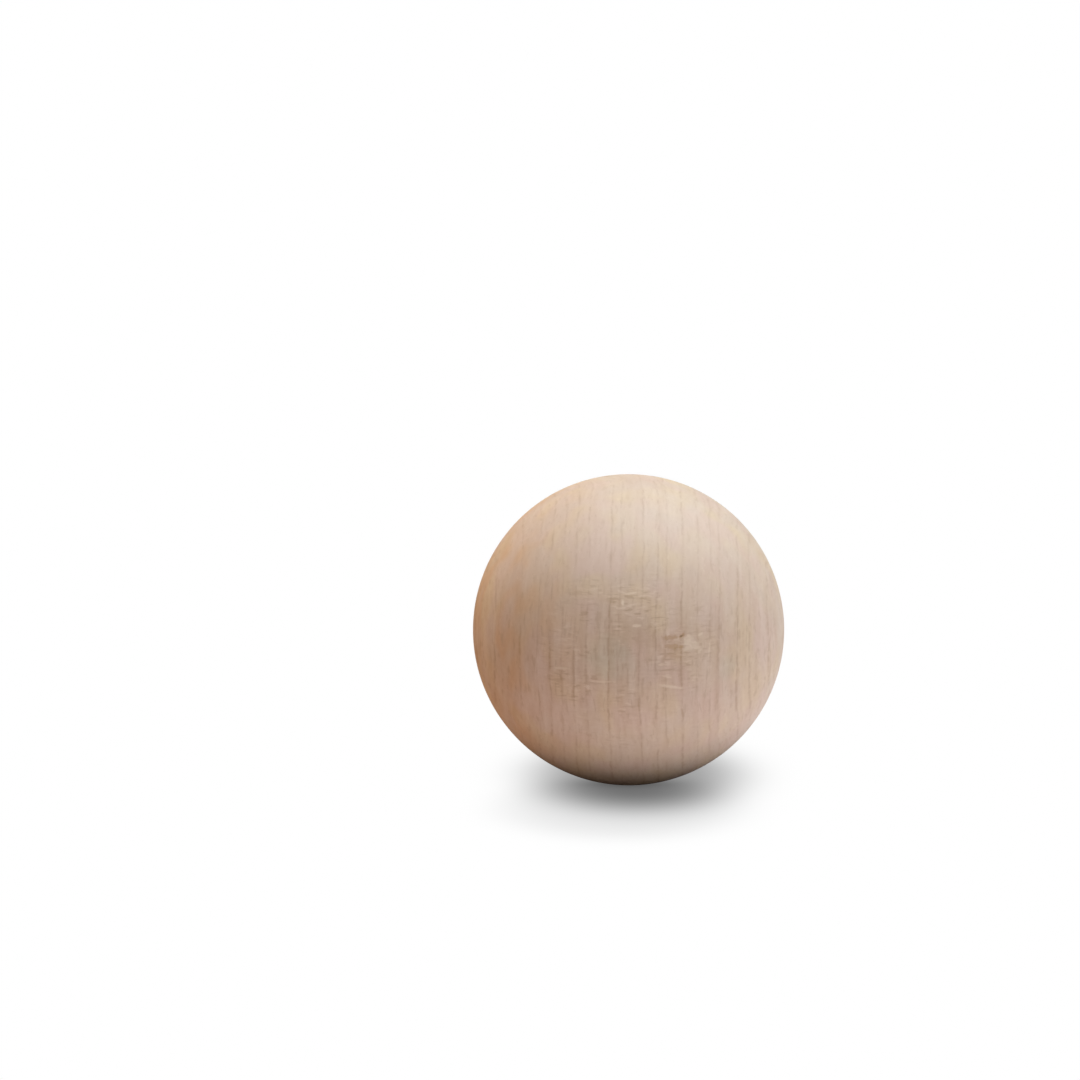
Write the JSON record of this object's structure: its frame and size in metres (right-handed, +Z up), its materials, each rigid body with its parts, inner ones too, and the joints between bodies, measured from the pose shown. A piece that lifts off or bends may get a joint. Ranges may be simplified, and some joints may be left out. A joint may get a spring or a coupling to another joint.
{
  "type": "wooden ball",
  "caption": "Plain turned ball of pale, unfinished hardwood, solid all through, for crafts, knobs, feet, pegs and play.",
  "frame": {"origin": "centre of the ball", "axes": "+Z up, along the axis the ball was turned on and the way its grain runs; -Y faces the viewer of the picture, with the growth rings edge-on and their lines upright; the tree's centre was towards -X"},
  "size_m": [0.0508, 0.0508, 0.0508],
  "materials": {
    "bare_wood": "sanded and left bare, satin"
  },
  "bodies": {
    "root": {"ball": "bare_wood"}
  },
  "joints": []
}
